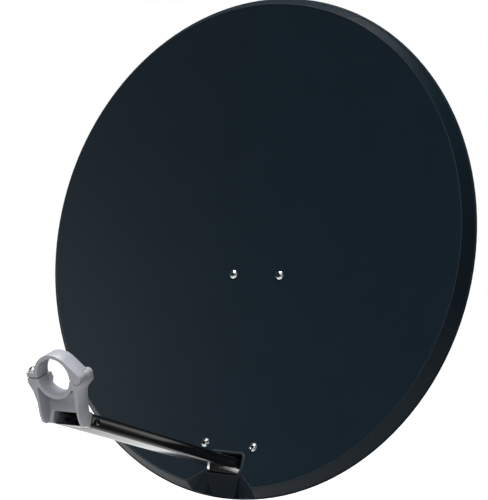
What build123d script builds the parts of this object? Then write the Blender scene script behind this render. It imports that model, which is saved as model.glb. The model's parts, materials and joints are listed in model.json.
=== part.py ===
from build123d import *
import os
from math import asin, atan2, copysign, cos, radians, sin, sqrt, tan

# Offset satellite dish with its feed arm, LNB clamp, tilting back support and mast clamp.
# Millimetres, +Z up. The origin lies on the mast's axis at half the height of the mast
# clamp, and the dish looks towards -Y. The LNB, the receiver head, isn't part of it.

# ---------------------------------------------------------------- driving dimensions
# Reflector: a piece of a paraboloid, cut by a round beam that lies clear of its axis.
aperture = 614.0            # diameter of the beam, and so the dish's inner width
focal_length = 373.0
axis_clearance = 15.0       # from the paraboloid's axis to the beam's lower edge
sheet = 1.0                 # pressed steel sheet
skirt_width = 12.4          # how far the skirt behind the crease flares out
skirt_depth = 17.0
hem_reach = 1.6             # the rolled hem stands out past the skirt
hem_width = 3.0
hem_depth = 3.0
hem_radius = 1.2

# Pointing, as the elevation of the beam above the horizon.
rest_elevation = 32.0
lowest_elevation = 15.0
highest_elevation = 55.0

# Place of the rim's centre from the mast's axis and the clamp's mid height.
dish_reach = 158.0
dish_rise = 140.0

# Cut-out for the feed arm, and the pressed notch that opens from it to the rim.
cutout_width = 49.0
cutout_height = 25.0
cutout_radius = 5.0
cutout_lift = 32.9          # above the crease's lowest point, along the rim plane
lip_width = 2.6             # the raised lip round the cut-out
lip_rise = 1.6
lip_foot_depth = 4.0
notch_top = 25.0            # half width at its upper end
notch_lift = 22.4
notch_flare = 44.0          # angle of its sides from the middle line
notch_draft = 40.0          # lean of its sides from the rim's normal
notch_depth = 7.6           # behind the rim plane at its upper end

# Feed arm: a rectangular steel tube.
arm_width = 44.5
arm_height = 15.0
arm_wall = 1.2
arm_corner = 2.2
arm_lift = 34.4             # where its centre line crosses the rim plane
arm_rise = 7.1              # angle above the rim's normal
arm_reach = 345.5           # in front of the rim plane
arm_tail = 80.0             # behind the rim plane
arm_slot_length = 16.0      # drain slot across the tube's underside
arm_slot_width = 3.5
arm_slot_x = 10.0
arm_slot_back = 16.5        # behind the tube's front end
arm_bolt_size = 6.0
arm_bolt_length = 60.0
arm_bolt_backs = (25.0, 65.0)   # behind the rim plane
arm_fit = 0.5               # between the tube and the support's walls

# Back support: a formed channel with flanges that follow the dish's back.
support_wall = 2.0
support_top = 18.0          # below the rim's centre
support_lift = 12.4         # its lower end above the crease's lowest point
support_back = 74.0         # behind the rim plane at its upper end
support_bend = 12.0         # radius of its rear corners
support_front = 16.0        # where its lower end starts, behind the rim plane
flange_width = 100.0
flange_corner = 12.0
flange_sheet = 2.0
flange_lip = 10.0           # past the channel's top

# Screws that hold the reflector to the flanges.
screw_drop = 42.0           # upper row, below the rim's centre
screw_lift = 56.4           # lower row, above the crease's lowest point
screw_spacing = 72.0
screw_size = 6.0
screw_length = 16.0
screw_head = 12.4
screw_head_height = 3.2

# Tilt hinge and its lock.
pivot_y = -80.0
pivot_z = 28.0
lock_radius = 50.0
pivot_size = 8.0
pivot_length = 70.0
pivot_boss = 18.0
sleeve_wall = 3.0
lock_size = 8.0
lock_length = 16.0
lock_gap = 0.3              # under the lock's washers, which slide on the ears
dome_head = 2.5             # width of a carriage bolt's head, by its thread size
dome_height = 0.55          # height of that head, by its thread size
ear_wall = 2.5
ear_gap = 0.3               # between the ears and the support's walls
ear_margin = 12.0           # from the lock slot's middle line to the ear's edge
web_top = 50.0
web_bottom = 54.0
slot_clearance = 0.3

# Mast clamp: two pressed jaws with toothed V edges, drawn together by two bolts.
mast_diameter = 48.0        # the mast that the jaws are set to
smallest_mast = 32.0
largest_mast = 60.0
vee_angle = 110.0
vee_half_width = 24.0
jaw_wall = 2.5
jaw_floor = 7.2             # from the V's deepest point to the jaw's back
jaw_width = 104.0
jaw_height = 68.0
jaw_bend = 3.0
jaw_shoulder = 6.0          # height of the jaw's ends above its back
jaw_cheek = 34.0            # half width of its open side
tooth_count = 6             # on each flank
tooth_depth = 1.6
mast_bolt_size = 8.0
mast_bolt_spacing = 80.0
mast_bolt_length = 100.0
rivet_size = 6.0
rivet_spacing_x = 30.0
rivet_spacing_z = 44.0

# LNB clamp, placed by the middle of its ring's front face from the arm's front end.
ring_ahead = 18.87          # along the ring's axis
ring_rise = 52.76           # square to that axis
ring_dip = 25.5             # the ring looks this far below the rim's normal
lnb_neck = 40.0
ring_wall = 4.0
ring_length = 23.6
strap_length = 19.0
split_height = -3.1         # the two halves meet this far above the ring's axis
split_gap = 1.2
cheek_half = 25.6           # outer half width of the holder's two cheeks
cheek_wall = 3.0
cheek_depth = 18.2
cheek_drop = 55.4           # below the ring's axis
cheek_top = 7.0             # where the cheeks leave the ring, below its axis
web_wall = 2.2
web_drop = 45.0
pocket_drop = 13.0          # upper end of the hollow behind the web
rear_drop = 9.0             # the ring's rear edge ends here, below its axis
shank_drop = 13.0           # and runs down to the cheeks' rear edge here
toe_height = 12.4           # the cheeks' lower ends taper over this height
toe_front = 6.0
toe_back = 6.2
gusset_drop = 31.0          # below the ring's axis, where both gussets run out
knuckle_x = 28.2
knuckle_drop = 0.9
knuckle_radius = 5.6
knuckle_gap = 0.4
knuckle_heel = 16.0         # the hinge's gusset is waisted this far below the ring's axis
hinge_pin_size = 4.0
pin_cover = 3.0             # metal in front of the pin's end
clamp_ear_reach = 34.0
clamp_ear_middle = 5.6      # behind the ring's front face
clamp_ear_length = 10.4
clamp_ear_depth = 5.0       # thickness of the holder's ear
clamp_lug = 5.0             # thickness of the strap's ear
ear_heel = 5.2              # the ear's gusset is waisted this far inside its end
ear_heel_drop = 17.5        # and this far below the ring's axis
clamp_screw_x = -28.9
clamp_screw_size = 5.0
clamp_screw_grip = 2.4      # depth of thread in the holder's ear
tongue_wall = 3.0
tongue_length = 34.0
tongue_fit = 0.2
stop_length = 7.0           # shoulders in front of the tube's end
fixing_back = 16.0          # the holder's screws, behind the tube's front end
fixing_size = 4.0
fixing_length = 8.0
fixing_head = 7.0
fixing_head_height = 2.2
clamp_screw_head = 8.5
clamp_screw_head_height = 3.4

running_fit = 0.06          # radial, where a shaft turns or slides
bolt_fit = 0.2              # radial, where a bolt only passes through
seat_gap = 0.03             # under a flat head on a curved sheet

# ISO sizes of nuts and washers, by thread size: width across flats, nut height,
# washer diameter, washer thickness.
fastener = {
    4.0: (7.0, 3.2, 9.0, 0.8),
    5.0: (8.0, 4.0, 10.0, 1.0),
    6.0: (10.0, 5.0, 12.0, 1.6),
    8.0: (13.0, 6.5, 16.0, 1.6),
}

# ---------------------------------------------------------------- frames
half_width = aperture / 2
beam_height = axis_clearance + half_width
offset_angle = atan2(beam_height, 2 * focal_length)
half_height = half_width / cos(offset_angle)
cutout_drop = half_height - cutout_lift
notch_drop = half_height - notch_lift
arm_drop = half_height - arm_lift
support_bottom = half_height - support_lift
screw_rows = (screw_drop, half_height - screw_lift)
rim_tilt = radians(rest_elevation) - offset_angle
rim_depth = (half_width**2 + beam_height**2) / (4 * focal_length)

right = Vector(1, 0, 0)
# The rim plane: x to the right, y up the dish, z out of its open side.
rim = Plane((0, -dish_reach, dish_rise), x_dir=right, z_dir=(0, -cos(rim_tilt), sin(rim_tilt)))
# The beam's frame: z towards the satellite, its origin at the paraboloid's vertex.
beam_dir = Vector(0, -cos(radians(rest_elevation)), sin(radians(rest_elevation)))
beam_up = beam_dir.cross(right)
vertex = rim.origin - beam_up * beam_height - beam_dir * rim_depth
beam = Plane(vertex, x_dir=right, z_dir=beam_dir)
# Side view of the dish: x up the dish, y out of its open side.
dish_side = Plane(rim.origin, x_dir=rim.y_dir, z_dir=right)
# The feed arm: z along the tube to its front end.
arm_dir = rim.y_dir * sin(radians(arm_rise)) + rim.z_dir * cos(radians(arm_rise))
arm = Plane(rim.from_local_coords((0, -arm_drop, 0)), x_dir=right, z_dir=arm_dir)
# The LNB ring: z out of its front face, y up.
ring_dir = rim.z_dir * cos(radians(ring_dip)) - rim.y_dir * sin(radians(ring_dip))
ring_up = ring_dir.cross(right)
arm_front = arm.from_local_coords((0, 0, arm_reach))
ring = Plane(arm_front + ring_dir * ring_ahead + ring_up * ring_rise, x_dir=right, z_dir=ring_dir)
# Side view of the ring: x out of its front face, y up.
ring_side = Plane(ring.origin, x_dir=ring.z_dir, z_dir=-right)


# ---------------------------------------------------------------- reflecting surface
skin_reach = aperture + axis_clearance + 3 * skirt_width
skin_thinning = (sqrt(1 + (skin_reach / (2 * focal_length)) ** 2) - 1) / skin_reach**2


def skin_curvature(depth):
    """Curvature of the paraboloid that lies depth behind the reflecting face."""
    return 1 / (4 * focal_length) - depth * skin_thinning


def bowl_space(depth):
    """The space in front of the skin that lies depth behind the reflecting face."""
    edge_height = skin_curvature(depth) * skin_reach**2 - depth
    with BuildPart() as space:
        with BuildSketch(Plane(vertex, x_dir=right, z_dir=-beam_up)):
            with BuildLine():
                Bezier((0, -depth), (skin_reach / 2, -depth), (skin_reach, edge_height))
                Polyline(
                    (skin_reach, edge_height),
                    (skin_reach, edge_height + half_width),
                    (0, edge_height + half_width),
                    (0, -depth),
                )
            make_face()
        revolve(axis=Axis(vertex, beam_dir), revolution_arc=180)
    return space.part


def skin_distance(start, direction, depth):
    """How far the skin at this depth lies from a point, along a direction."""
    point = beam.to_local_coords(start)
    step = beam.to_local_coords(start + direction) - point
    bend = skin_curvature(depth)
    square = bend * (step.X**2 + step.Y**2)
    slope = 2 * bend * (point.X * step.X + point.Y * step.Y) - step.Z
    rest = bend * (point.X**2 + point.Y**2) - depth - point.Z
    root = copysign(sqrt(slope**2 - 4 * square * rest), slope)
    return -2 * rest / (slope + root)


def skin_plane(x, drop):
    """Plane that touches the reflecting face below the rim's centre, z out of the dish."""
    start = rim.from_local_coords((x, -drop, 0))
    touch = start - rim.z_dir * skin_distance(start, -rim.z_dir, 0)
    place = beam.to_local_coords(touch)
    normal = beam_dir - right * (place.X / (2 * focal_length))
    normal = normal - beam_up * (place.Y / (2 * focal_length))
    return Plane(touch, x_dir=right, z_dir=normal)


# ---------------------------------------------------------------- fasteners
def drills(planes, diameter, depth):
    """Round pins to cut holes with, from depth above the planes to depth below them."""
    with BuildPart() as pins:
        with BuildSketch(*[plane.offset(depth) for plane in planes]):
            Circle(diameter / 2)
        extrude(amount=-2 * depth)
    return pins.part


def rods(planes, diameter, length, fit=0.0):
    """Plain round rods that start on the planes and run along their z."""
    with BuildPart() as made:
        with BuildSketch(*planes):
            Circle(diameter / 2 + fit)
        extrude(amount=length)
    return made.part


def turned_bolt(plane, size, length, head_width, head_height, crown):
    """A domed bolt or screw: its head stands on the plane, its shank goes below."""
    radius = size / 2
    head_radius = head_width / 2
    tip = size / 8
    with BuildPart() as bolt:
        with BuildSketch(Plane(plane.origin, x_dir=plane.x_dir, z_dir=-plane.y_dir)):
            with BuildLine():
                Polyline(
                    (0, head_height),
                    (0, -length),
                    (radius - tip, -length),
                    (radius, tip - length),
                    (radius, 0),
                    (head_radius, 0),
                    (head_radius, head_height - crown),
                    (0.55 * head_radius, head_height),
                    (0, head_height),
                )
            make_face()
        revolve(axis=Axis(plane.origin, plane.z_dir))
    return bolt.part


def cross_recess(plane, width, depth):
    """A cross-shaped driver recess to cut, sunk from the plane."""
    with BuildPart() as recess:
        with BuildSketch(plane):
            Rectangle(width, width / 5)
            Rectangle(width / 5, width)
        extrude(amount=-depth)
    return recess.part


def hex_bolts(planes, size, length):
    """Hexagon bolts: the heads stand on the planes."""
    with BuildPart() as bolts:
        with BuildSketch(*planes):
            RegularPolygon(fastener[size][0] / 2, 6, major_radius=False)
        extrude(amount=0.65 * size)
        with BuildSketch(*planes):
            Circle(size / 2)
        extrude(amount=-length)
    return bolts.part


def nuts(planes, size, fit=0.0):
    """Hexagon nuts that stand on the planes."""
    across, height = fastener[size][:2]
    with BuildPart() as made:
        with BuildSketch(*planes):
            RegularPolygon(across / 2, 6, major_radius=False)
            Circle(size / 2 + fit, mode=Mode.SUBTRACT)
        extrude(amount=height)
    return made.part


def washers(planes, size, fit=0.0):
    """Flat washers that lie on the planes."""
    outside, thickness = fastener[size][2:]
    with BuildPart() as made:
        with BuildSketch(*planes):
            Circle(outside / 2)
            Circle(size / 2 + fit, mode=Mode.SUBTRACT)
        extrude(amount=thickness)
    return made.part


# ---------------------------------------------------------------- reflector
skirt_slant = sqrt(skirt_width**2 + skirt_depth**2)
skirt_inset = sheet * skirt_slant / skirt_depth
hem_spread = skirt_width + hem_reach
notch_end = half_height + skirt_width
notch_fall = (skirt_depth - notch_depth) / (notch_end - notch_drop)
notch_crest = notch_depth * tan(radians(notch_draft))
screw_planes = [
    skin_plane(side * screw_spacing / 2, drop) for drop in screw_rows for side in (-1, 1)
]


def rim_ring(spread, inset):
    """An ellipse that stands spread outside the crease, with its middle cut out."""
    Ellipse(half_width + spread, half_height + spread)
    Ellipse(half_width + spread - inset, half_height + spread - inset, mode=Mode.SUBTRACT)


def cutout_outline(margin):
    """The opening for the arm, made larger all round by margin."""
    with Locations((0, -cutout_drop)):
        RectangleRounded(
            cutout_width + 2 * margin, cutout_height + 2 * margin, cutout_radius + margin
        )


def notch_outline(top_half):
    """The notch seen from the front, with this half width at its upper end."""
    length = notch_end + hem_spread - notch_drop
    low_half = top_half + length * tan(radians(notch_flare))
    Polygon(
        (-top_half, -notch_drop),
        (-low_half, -notch_drop - length),
        (low_half, -notch_drop - length),
        (top_half, -notch_drop),
        align=None,
    )


def notch_space(margin):
    """The space above the notch's sloping floor, made larger all round by margin."""
    length = notch_end + hem_spread - notch_drop
    side_margin = margin / cos(radians(notch_draft))
    lean = (skirt_depth + hem_depth) * tan(radians(notch_draft))
    with BuildPart() as space:
        with BuildSketch(rim.offset(-skirt_depth - hem_depth)):
            notch_outline(notch_top + side_margin + notch_crest - lean)
        with BuildSketch(rim.offset(skirt_depth + hem_depth)):
            notch_outline(notch_top + side_margin + notch_crest + lean)
        loft(ruled=True)
        with BuildSketch(dish_side):
            with BuildLine():
                Polyline(
                    (-notch_drop, -notch_depth - margin),
                    (-notch_drop - length, -notch_depth - margin - notch_fall * length),
                    (-notch_drop - length, 2 * skirt_depth),
                    (-notch_drop, 2 * skirt_depth),
                    close=True,
                )
            make_face()
        extrude(amount=half_width, both=True, mode=Mode.INTERSECT)
    return space.part


with BuildPart() as bowl:
    add(bowl_space(sheet))
    add(bowl_space(0), mode=Mode.SUBTRACT)
    with BuildSketch(rim.offset(skirt_depth)):
        Ellipse(half_width - sheet / 3, half_height - sheet / 3)
    extrude(amount=-skirt_depth - half_width / 2, mode=Mode.INTERSECT)

# The pressed lip that stands up round the cut-out, with a foot down to the notch's floor.
with BuildPart() as lip_foot:
    add(bowl_space(lip_foot_depth))
    add(bowl_space(-lip_rise), mode=Mode.SUBTRACT)
    with BuildSketch(rim.offset(skirt_depth)):
        with Locations((0, -cutout_drop - cutout_height / 2)):
            Rectangle(cutout_width, 2 * lip_width)
    extrude(amount=-3 * skirt_depth, mode=Mode.INTERSECT)

with BuildPart() as cutout_lip:
    add(bowl_space(sheet / 2))
    add(bowl_space(-lip_rise), mode=Mode.SUBTRACT)
    with BuildSketch(rim.offset(skirt_depth)):
        cutout_outline(lip_width)
    extrude(amount=-3 * skirt_depth, mode=Mode.INTERSECT)

# The notch's floor and sides, one sheet thick, ending inside the bowl and the skirt.
with BuildPart() as notch_pan:
    add(notch_space(sheet))
    add(notch_space(0), mode=Mode.SUBTRACT)
    add(bowl_space(sheet / 2), mode=Mode.SUBTRACT)
    with BuildSketch(rim):
        Ellipse(half_width - skirt_inset / 2, half_height - skirt_inset / 2)
    with BuildSketch(rim.offset(-skirt_depth)):
        Ellipse(notch_end - half_height + half_width - skirt_inset / 2, notch_end - skirt_inset / 2)
    loft(ruled=True, mode=Mode.INTERSECT)

with BuildPart() as reflector:
    with BuildSketch(rim.offset(-skirt_depth - hem_depth)):
        rim_ring(hem_spread, hem_width)
    extrude(amount=hem_depth + sheet / 2)
    chamfer(reflector.edges().group_by(Edge.length)[-1], length=hem_radius)
    with BuildSketch(rim):
        rim_ring(0, skirt_inset)
    with BuildSketch(rim.offset(-skirt_depth)):
        rim_ring(skirt_width, skirt_inset)
    loft(ruled=True)
    add(bowl.part)
    add(notch_space(0), mode=Mode.SUBTRACT)
    add(notch_pan.part)
    add(cutout_lip.part)
    add(lip_foot.part)
    with BuildSketch(rim.offset(skirt_depth)):
        cutout_outline(0)
    extrude(amount=-3 * skirt_depth, mode=Mode.SUBTRACT)
    add(drills(screw_planes, screw_size + 2 * bolt_fit, 4 * sheet), mode=Mode.SUBTRACT)
reflector.part.label = "reflector"

# Screws from the front, and their washers and nuts behind the flanges.
screw_stack = [
    skin_distance(plane.origin, -plane.z_dir, sheet + flange_sheet) for plane in screw_planes
]
screw_backs = [
    Plane(plane.origin - plane.z_dir * (grip + seat_gap), x_dir=right, z_dir=-plane.z_dir)
    for plane, grip in zip(screw_planes, screw_stack)
]
with BuildPart() as reflector_screws:
    for plane in screw_planes:
        seat = plane.offset(seat_gap)
        crown = 0.6 * screw_head_height
        add(turned_bolt(seat, screw_size, screw_length, screw_head, screw_head_height, crown))
        top = seat.offset(screw_head_height)
        add(cross_recess(top, screw_head / 2, screw_head_height / 2), mode=Mode.SUBTRACT)
reflector_screws.part.label = "reflector_screws"

with BuildPart() as reflector_washers:
    add(washers(screw_backs, screw_size))
reflector_washers.part.label = "reflector_washers"

with BuildPart() as reflector_nuts:
    add(nuts([plane.offset(fastener[screw_size][3]) for plane in screw_backs], screw_size))
reflector_nuts.part.label = "reflector_nuts"

# ---------------------------------------------------------------- back support
pivot = Vector(0, pivot_y, pivot_z)
lock = pivot - Vector(0, 0, lock_radius)
channel_inner = arm_width / 2 + arm_fit
channel_outer = channel_inner + support_wall


def in_side(point):
    """A point's place in the dish's side view."""
    place = rim.to_local_coords(point)
    return place.Y, place.Z


def side_plane(point, x, facing=1):
    """Plane square to X at this x, through a point, facing +X or -X."""
    return Plane((x, point.Y, point.Z), x_dir=(0, 1, 0), z_dir=(facing, 0, 0))


pivot_v, pivot_n = in_side(pivot)
lock_v, lock_n = in_side(lock)
tail_v, tail_n = in_side(arm.from_local_coords((0, 0, -arm_tail)))
tail_back = tail_n - arm_height / 2 - 2 * support_wall
support_end = -support_bottom - pivot_boss
lock_cover = dome_head * lock_size / 2 + 2 * support_wall
arm_bolt_sides = [
    [
        side_plane(arm.from_local_coords((0, 0, -back)), side * channel_outer, side)
        for back in arm_bolt_backs
    ]
    for side in (1, -1)
]
middle_planes = [
    side_plane(arm.from_local_coords((0, 0, -back)), 0) for back in arm_bolt_backs
]

with BuildPart() as flange_plate:
    add(bowl_space(sheet + flange_sheet))
    add(bowl_space(sheet), mode=Mode.SUBTRACT)
    flange_top = flange_lip - support_top
    flange_length = flange_top + screw_rows[1] + 2 * flange_corner
    with BuildSketch(rim):
        with Locations((0, flange_top - flange_length / 2)):
            RectangleRounded(flange_width, flange_length, flange_corner)
        with Locations((0, -support_top - support_wall - flange_length / 2)):
            Rectangle(2 * channel_inner, flange_length, mode=Mode.SUBTRACT)
    extrude(amount=-half_width, mode=Mode.INTERSECT)

with BuildPart() as back_support:
    # A deep channel, closed behind and open towards the dish and at its lower end.
    with BuildSketch(dish_side) as support_profile:
        with BuildLine():
            FilletPolyline(
                (-support_top, support_front),
                (-support_top, -support_back),
                (pivot_v + pivot_boss, pivot_n - pivot_boss),
                (lock_v - lock_cover, lock_n - lock_cover),
                (support_end, tail_back),
                radius=support_bend,
            )
            Polyline(
                (support_end, tail_back),
                (support_end, support_front),
                (-support_top, support_front),
            )
        make_face()
    extrude(amount=channel_outer, both=True)
    with BuildSketch(dish_side):
        add(support_profile.sketch_local)
        offset(amount=-support_wall, kind=Kind.INTERSECTION)
    extrude(amount=channel_inner, both=True, mode=Mode.SUBTRACT)
    add(bowl_space(sheet), mode=Mode.SUBTRACT)
    add(flange_plate.part)
    with BuildSketch(dish_side):
        with BuildLine():
            Polyline(
                (cutout_radius - notch_drop, support_front),
                (cutout_radius - notch_drop, -support_front),
                (-support_bottom, -support_front),
                (-support_bottom, 2 * tail_back),
                (support_end - support_wall, 2 * tail_back),
                (support_end - support_wall, support_front),
                close=True,
            )
        make_face()
    extrude(amount=channel_outer, both=True, mode=Mode.SUBTRACT)
    add(drills(middle_planes, arm_bolt_size + 2 * bolt_fit, flange_width), mode=Mode.SUBTRACT)
    pivot_hole = drills([side_plane(pivot, 0)], pivot_size + 2 * running_fit, flange_width)
    add(pivot_hole, mode=Mode.SUBTRACT)
    with BuildSketch(side_plane(lock, 0)):
        Rectangle(lock_size + 2 * bolt_fit, lock_size + 2 * bolt_fit)
    extrude(amount=channel_outer, both=True, mode=Mode.SUBTRACT)
    add(drills(screw_planes, screw_size + 2 * bolt_fit, 4 * sheet), mode=Mode.SUBTRACT)
back_support.part.label = "back_support"

# The sleeve keeps the channel's walls apart round the pivot bolt.
with BuildPart() as pivot_sleeve:
    with BuildSketch(side_plane(pivot, 0)):
        Circle(pivot_size / 2 + running_fit + sleeve_wall)
        Circle(pivot_size / 2 + running_fit, mode=Mode.SUBTRACT)
    extrude(amount=channel_inner, both=True)
pivot_sleeve.part.label = "pivot_sleeve"

# ---------------------------------------------------------------- feed arm
tube_inner = arm_width / 2 - arm_wall
fixing_planes = [
    Plane(
        arm.from_local_coords((side * arm_width / 2, 0, arm_reach - fixing_back)),
        x_dir=arm.z_dir,
        z_dir=(side, 0, 0),
    )
    for side in (1, -1)
]
slot_plane = Plane(
    arm.from_local_coords((arm_slot_x, -arm_height / 2, arm_reach - arm_slot_back)),
    x_dir=right,
    z_dir=-arm.y_dir,
)

with BuildPart() as feed_arm:
    with BuildSketch(arm.offset(-arm_tail)):
        RectangleRounded(arm_width, arm_height, arm_corner)
        RectangleRounded(
            2 * tube_inner,
            arm_height - 2 * arm_wall,
            arm_corner - arm_wall,
            mode=Mode.SUBTRACT,
        )
    extrude(amount=arm_tail + arm_reach)
    add(drills(middle_planes, arm_bolt_size + 2 * bolt_fit, arm_width), mode=Mode.SUBTRACT)
    add(drills(fixing_planes, fixing_size + 2 * bolt_fit, 2 * arm_wall), mode=Mode.SUBTRACT)
    with BuildSketch(slot_plane):
        SlotOverall(arm_slot_length, arm_slot_width)
    extrude(amount=-2 * arm_wall, mode=Mode.SUBTRACT)
feed_arm.part.label = "feed_arm"

with BuildPart() as arm_bolts:
    add(hex_bolts(arm_bolt_sides[0], arm_bolt_size, arm_bolt_length))
arm_bolts.part.label = "arm_bolts"

with BuildPart() as arm_nuts:
    add(nuts(arm_bolt_sides[1], arm_bolt_size))
arm_nuts.part.label = "arm_nuts"

# ---------------------------------------------------------------- tilt bracket
ear_inner = channel_outer + ear_gap
ear_outer = ear_inner + ear_wall
vee_half = radians(vee_angle / 2)
vee_apex = -mast_diameter / 2 / sin(vee_half)
jaw_back = vee_apex - jaw_floor
jaw_front = vee_apex + vee_half_width / tan(vee_half)
lowest_turn = lowest_elevation - rest_elevation
highest_turn = highest_elevation - rest_elevation
rivet_spots = [
    (x * rivet_spacing_x / 2, z * rivet_spacing_z / 2) for x in (-1, 1) for z in (-1, 1)
]
rivet_planes = [Plane((x, jaw_back, z), x_dir=right, z_dir=(0, -1, 0)) for x, z in rivet_spots]


def slot_spot(turn):
    """Where the lock sits in the ear after this turn, seen from +X round the pivot."""
    return -lock_radius * sin(radians(turn)), -lock_radius * cos(radians(turn))


with BuildPart() as tilt_bracket:
    web_front = jaw_back - ear_wall
    with BuildSketch(side_plane(pivot, 0)):
        Circle(pivot_boss)
        with Locations(*[slot_spot(turn) for turn in (lowest_turn, 0, highest_turn)]):
            Circle(ear_margin)
        with Locations((jaw_back - pivot_y - ear_wall / 2, (web_top - web_bottom) / 2 - pivot_z)):
            Rectangle(ear_wall, web_top + web_bottom)
        make_hull()
    extrude(amount=ear_outer, both=True)
    with BuildSketch(side_plane(pivot, 0)):
        with Locations((web_front - pivot_y - aperture / 2, 0)):
            Rectangle(aperture, aperture)
    extrude(amount=ear_inner, both=True, mode=Mode.SUBTRACT)
    add(
        drills([side_plane(pivot, 0)], pivot_size + 2 * running_fit, 2 * ear_outer),
        mode=Mode.SUBTRACT,
    )
    with BuildSketch(side_plane(pivot, 0)):
        SlotArc(
            Edge.make_circle(
                lock_radius, start_angle=270 - highest_turn, end_angle=270 - lowest_turn
            ),
            lock_size + 2 * slot_clearance,
        )
    extrude(amount=ear_outer, both=True, mode=Mode.SUBTRACT)
    add(drills(rivet_planes, rivet_size, 2 * ear_wall), mode=Mode.SUBTRACT)
tilt_bracket.part.label = "tilt_bracket"

pivot_seats = [
    side_plane(pivot, side * (ear_outer + fastener[pivot_size][3]), side) for side in (1, -1)
]
with BuildPart() as pivot_bolt:
    add(hex_bolts(pivot_seats[:1], pivot_size, pivot_length))
pivot_bolt.part.label = "pivot_bolt"

with BuildPart() as pivot_washers:
    add(washers([side_plane(pivot, side * ear_outer, side) for side in (1, -1)], pivot_size))
pivot_washers.part.label = "pivot_washers"

with BuildPart() as pivot_nut:
    add(nuts(pivot_seats[1:], pivot_size))
pivot_nut.part.label = "pivot_nut"


def carriage_bolt(plane, size, length, neck):
    """Carriage bolt: its round head stands on the plane, with a square neck below it."""
    with BuildPart() as bolt:
        add(turned_bolt(plane, size, length, dome_head * size, dome_height * size, size / 2))
        with BuildSketch(plane):
            Rectangle(size, size)
        extrude(amount=-neck)
    return bolt.part


# The lock's bolts stand with their heads inside the channel, one on each side.
with BuildPart() as lock_bolts:
    for side in (1, -1):
        head = side_plane(lock, side * channel_inner, -side)
        add(carriage_bolt(head, lock_size, lock_length, support_wall))
lock_bolts.part.label = "lock_bolts"

lock_seats = [side_plane(lock, side * (ear_outer + lock_gap), side) for side in (1, -1)]
with BuildPart() as lock_washers:
    add(washers(lock_seats, lock_size))
lock_washers.part.label = "lock_washers"

with BuildPart() as lock_nuts:
    add(nuts([plane.offset(fastener[lock_size][3]) for plane in lock_seats], lock_size))
lock_nuts.part.label = "lock_nuts"

with BuildPart() as bracket_rivets:
    grip = ear_wall + jaw_wall
    head_height = 0.35 * rivet_size
    tail_height = 0.3 * rivet_size
    for plane in rivet_planes:
        seat = plane.offset(ear_wall)
        with BuildSketch(Plane(seat.origin, x_dir=right, z_dir=-seat.y_dir)):
            Polygon(
                (0, -grip - tail_height),
                (0.8 * rivet_size, -grip - tail_height),
                (0.8 * rivet_size, -grip),
                (rivet_size / 2, -grip),
                (rivet_size / 2, 0),
                (0.85 * rivet_size, 0),
                (rivet_size / 2, head_height),
                (0, head_height),
                align=None,
            )
        revolve(axis=Axis(seat.origin, seat.z_dir))
bracket_rivets.part.label = "bracket_rivets"

# ---------------------------------------------------------------- mast clamp
flank_length = vee_half_width / sin(vee_half)
tooth_pitch = flank_length / tooth_count
bolt_spots = [(side * mast_bolt_spacing / 2, 0) for side in (1, -1)]


def flank_spot(distance, depth, side):
    """A place along a flank of the V from its deepest point, and depth into the jaw."""
    x = distance * sin(vee_half) + depth * cos(vee_half)
    y = vee_apex + distance * cos(vee_half) - depth * sin(vee_half)
    return side * x, y


def vee_edge(side):
    """A toothed flank, from its outer end towards the deepest point."""
    spots = []
    for tooth in range(tooth_count, 0, -1):
        spots.append(flank_spot(tooth * tooth_pitch, 0, side))
        spots.append(flank_spot((tooth - 0.5) * tooth_pitch, tooth_depth, side))
    return spots


jaw_plane = Plane((0, jaw_back, 0), x_dir=right, z_dir=(0, -1, 0))
with BuildPart() as jaw:
    with BuildSketch(Plane.XY):
        with BuildLine():
            Polyline(
                (-jaw_width / 2, jaw_back),
                (-jaw_width / 2, jaw_back + jaw_shoulder),
                (-jaw_cheek, jaw_front),
                *vee_edge(-1),
                (0, vee_apex),
                *reversed(vee_edge(1)),
                (jaw_cheek, jaw_front),
                (jaw_width / 2, jaw_back + jaw_shoulder),
                (jaw_width / 2, jaw_back),
                close=True,
            )
        make_face()
    extrude(amount=jaw_height / 2, both=True)
    inner_height = jaw_height - 2 * jaw_wall
    with BuildSketch(Plane.XZ.offset(-jaw_back - jaw_wall)):
        Rectangle(2 * jaw_width, inner_height)
    extrude(amount=-jaw_width, mode=Mode.SUBTRACT)
    bends = jaw.edges().filter_by(Axis.X).group_by(Axis.Y)[0]
    fillet(bends, radius=jaw_bend)

with BuildPart() as front_jaw:
    add(jaw.part)
    with BuildSketch(jaw_plane):
        with Locations(*bolt_spots):
            Rectangle(mast_bolt_size + 2 * bolt_fit, mast_bolt_size + 2 * bolt_fit)
    extrude(amount=-2 * jaw_wall, mode=Mode.SUBTRACT)
    add(drills(rivet_planes, rivet_size, 2 * jaw_wall), mode=Mode.SUBTRACT)
front_jaw.part.label = "front_jaw"

rear_planes = [Plane((x, -jaw_back, z), x_dir=right, z_dir=(0, 1, 0)) for x, z in bolt_spots]
with BuildPart() as rear_jaw:
    add(mirror(jaw.part, about=Plane.XZ))
    add(drills(rear_planes, mast_bolt_size + 2 * bolt_fit, 2 * jaw_wall), mode=Mode.SUBTRACT)
rear_jaw.part.label = "rear_jaw"

with BuildPart() as mast_bolts:
    for x, z in bolt_spots:
        head = Plane((x, jaw_back, z), x_dir=right, z_dir=(0, -1, 0))
        add(carriage_bolt(head, mast_bolt_size, mast_bolt_length, mast_bolt_size / 2))
mast_bolts.part.label = "mast_bolts"

with BuildPart() as mast_washers:
    add(washers(rear_planes, mast_bolt_size, running_fit))
mast_washers.part.label = "mast_washers"

with BuildPart() as mast_nuts:
    seats = [plane.offset(fastener[mast_bolt_size][3]) for plane in rear_planes]
    add(nuts(seats, mast_bolt_size, running_fit))
mast_nuts.part.label = "mast_nuts"

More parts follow.
